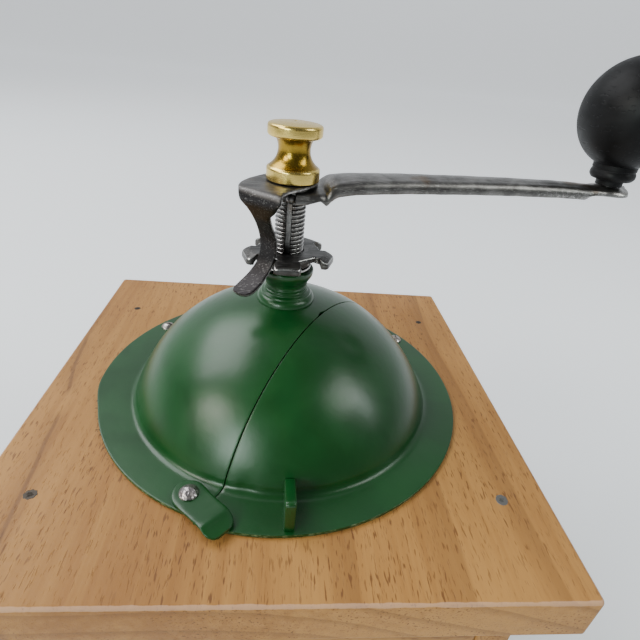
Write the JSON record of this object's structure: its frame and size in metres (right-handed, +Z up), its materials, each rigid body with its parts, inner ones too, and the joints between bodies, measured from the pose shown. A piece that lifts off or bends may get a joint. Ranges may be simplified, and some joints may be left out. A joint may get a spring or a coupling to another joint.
{
  "type": "manual_coffee_grinder",
  "caption": "Hand cranked box coffee grinder with a beech case and drawer, a green enamelled dome with a swing door, a star nut for the grind and a long crank",
  "frame": {"origin": "under the base board, on the vertical axis of the spindle, so the part stands on z = 0", "axes": "+Z up along the spindle; -Y is the front, where the drawer pulls out; +X is the right side, where the crank arm lies at rest"},
  "size_m": [0.1978, 0.1659, 0.2248],
  "materials": {
    "beech": "oiled beech, fine dark flecks",
    "green_enamel": "glossy deep green enamel, chipped here and there",
    "burnished_steel": "dark oiled steel, worn bright at the edges",
    "cast_iron": "bare grey iron",
    "brass": "polished, lightly tarnished",
    "black_lacquer": "turned hardwood, satin black lacquer",
    "nickel_plate": "worn nickel plate",
    "plain_steel": "plain bright steel, dulled"
  },
  "bodies": {
    "root": {"base_board": "beech", "base_screw_front_left": "plain_steel", "base_screw_front_right": "plain_steel", "base_screw_back_left": "plain_steel", "base_screw_back_right": "plain_steel", "wall_left": "beech", "wall_right": "beech", "wall_back": "beech", "front_rail": "beech", "top_board": "beech", "top_nail_front_left": "plain_steel", "top_nail_front_right": "plain_steel", "top_nail_back_left": "plain_steel", "top_nail_back_right": "plain_steel", "dome_shell": "green_enamel", "flange_screw": "nickel_plate", "latch_screw": "nickel_plate", "door_pivot_screw": "nickel_plate", "neck_collar": "green_enamel", "hopper_bowl": "plain_steel", "mill_screw_1": "plain_steel", "mill_screw_2": "plain_steel", "mill_screw_3": "plain_steel", "ring_burr": "cast_iron", "lower_bridge": "cast_iron", "bridge_screw_1": "plain_steel", "bridge_screw_2": "plain_steel", "bridge_bush": "brass", "thrust_spring": "burnished_steel"},
    "drawer": {"drawer_front": "beech", "drawer_side_left": "beech", "drawer_side_right": "beech", "drawer_back": "beech", "drawer_bottom": "beech", "drawer_pull": "black_lacquer", "drawer_pull_screw": "plain_steel"},
    "door": {"dome_door": "green_enamel", "door_fin": "green_enamel"},
    "latch": {"latch_tab": "green_enamel"},
    "washer": {"thrust_washer": "burnished_steel"},
    "spindle_train": {"spindle": "burnished_steel", "cone_burr": "cast_iron", "cone_nut": "burnished_steel", "crank_arm": "burnished_steel", "pawl_spring": "burnished_steel", "brass_nut": "brass", "knob_pin": "burnished_steel"},
    "star": {"star_nut": "burnished_steel"},
    "knob": {"knob": "black_lacquer"}
  },
  "joints": [
    {"name": "crank_turn", "type": "hinge", "parent": "root", "child": "washer", "pos_m": [0, 0, 0.1607], "axis": [0, 0, 1], "continuous": true},
    {"name": "nut_turn", "type": "hinge", "parent": "washer", "child": "star", "pos_m": [0, 0, 0.1635], "axis": [0, 0, 1], "range_deg": [-144.3, 288.3], "deforming": ["pawl_spring"]},
    {"name": "spindle_lift", "type": "slide", "parent": "washer", "child": "spindle_train", "axis": [0, 0, 1], "range_m": [-0.001, 0.0005], "deforming": ["thrust_spring"]},
    {"name": "knob_spin", "type": "hinge", "parent": "spindle_train", "child": "knob", "pos_m": [0.10552, 0.02051, 0.1873], "axis": [0, 0, 1], "continuous": true},
    {"name": "door_swing", "type": "hinge", "parent": "root", "child": "door", "pos_m": [0.04719, 0.03053, 0.1153], "axis": [0, 0, 1], "range_deg": [0, 100]},
    {"name": "latch_turn", "type": "hinge", "parent": "root", "child": "latch", "pos_m": [-0.02265, -0.04902, 0.117], "axis": [0, 0, -1], "range_deg": [0, 110]},
    {"name": "drawer_slide", "type": "slide", "parent": "root", "child": "drawer", "axis": [0, -1, 0], "range_m": [0, 0.09]}
  ],
  "couplings": [
    {"joint": "nut_turn", "follows": "spindle_lift", "rad_per_m": -5026.5}
  ]
}
